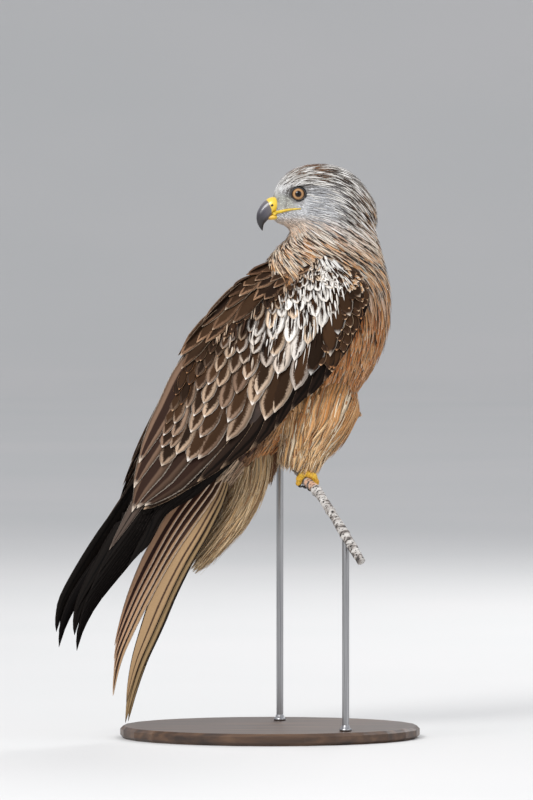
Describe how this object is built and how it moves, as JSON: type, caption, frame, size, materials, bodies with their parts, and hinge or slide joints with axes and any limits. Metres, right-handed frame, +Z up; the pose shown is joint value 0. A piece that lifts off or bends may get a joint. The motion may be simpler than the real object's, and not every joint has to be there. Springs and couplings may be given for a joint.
{
  "type": "red kite bird model",
  "caption": "Life-size perched bird of prey with a forked tail, folded wings and its head turned back, gripping a cut branch on a display stand.",
  "frame": {"origin": "centre of the underside of the stand's base plate, which is what the model stands on", "axes": "+Z up; the bird's breast faces 20 degrees from +X towards +Y, and its bill points towards -X"},
  "size_m": [0.3628, 0.236, 0.5745],
  "materials": {
    "head_plumage": "soft pale grey feathers with fine dark streaks",
    "neck_plumage": "buff feathers with dark shaft streaks",
    "body_plumage": "rufous feathers with dark streaks",
    "wing_plumage": "dark brown feathers with pale edges",
    "tail_plumage": "rufous feathers with a faint sheen",
    "undertail_plumage": "long soft buff feathers",
    "trouser_plumage": "long soft rufous feathers",
    "bill_horn": "smooth slate horn with a yellow cere",
    "foot_skin": "scaly yellow skin",
    "claw_horn": "smooth black horn",
    "eye_amber": "wet, pale amber iris with a black pupil",
    "bark": "rough grey bark with pale lichen",
    "stand_wood": "dark stained wood, satin",
    "stand_steel": "brushed dark steel"
  },
  "bodies": {
    "root": {"head": "head_plumage", "neck": "neck_plumage", "torso": "body_plumage", "eye_l": "eye_amber", "eye_r": "eye_amber", "upper_bill": "bill_horn", "lower_bill": "bill_horn", "wing_l": "wing_plumage", "wing_r": "wing_plumage", "tail": "tail_plumage", "undertail_coverts": "undertail_plumage", "thigh_l": "trouser_plumage", "thigh_r": "trouser_plumage", "foot_l": "foot_skin", "foot_r": "foot_skin", "claw_l1": "claw_horn", "claw_l2": "claw_horn", "claw_l3": "claw_horn", "claw_l4": "claw_horn", "claw_r1": "claw_horn", "claw_r2": "claw_horn", "claw_r3": "claw_horn", "claw_r4": "claw_horn", "perch": "bark", "stand_base": "stand_wood", "stand_rod_far": "stand_steel", "stand_rod_near": "stand_steel"}
  },
  "joints": []
}
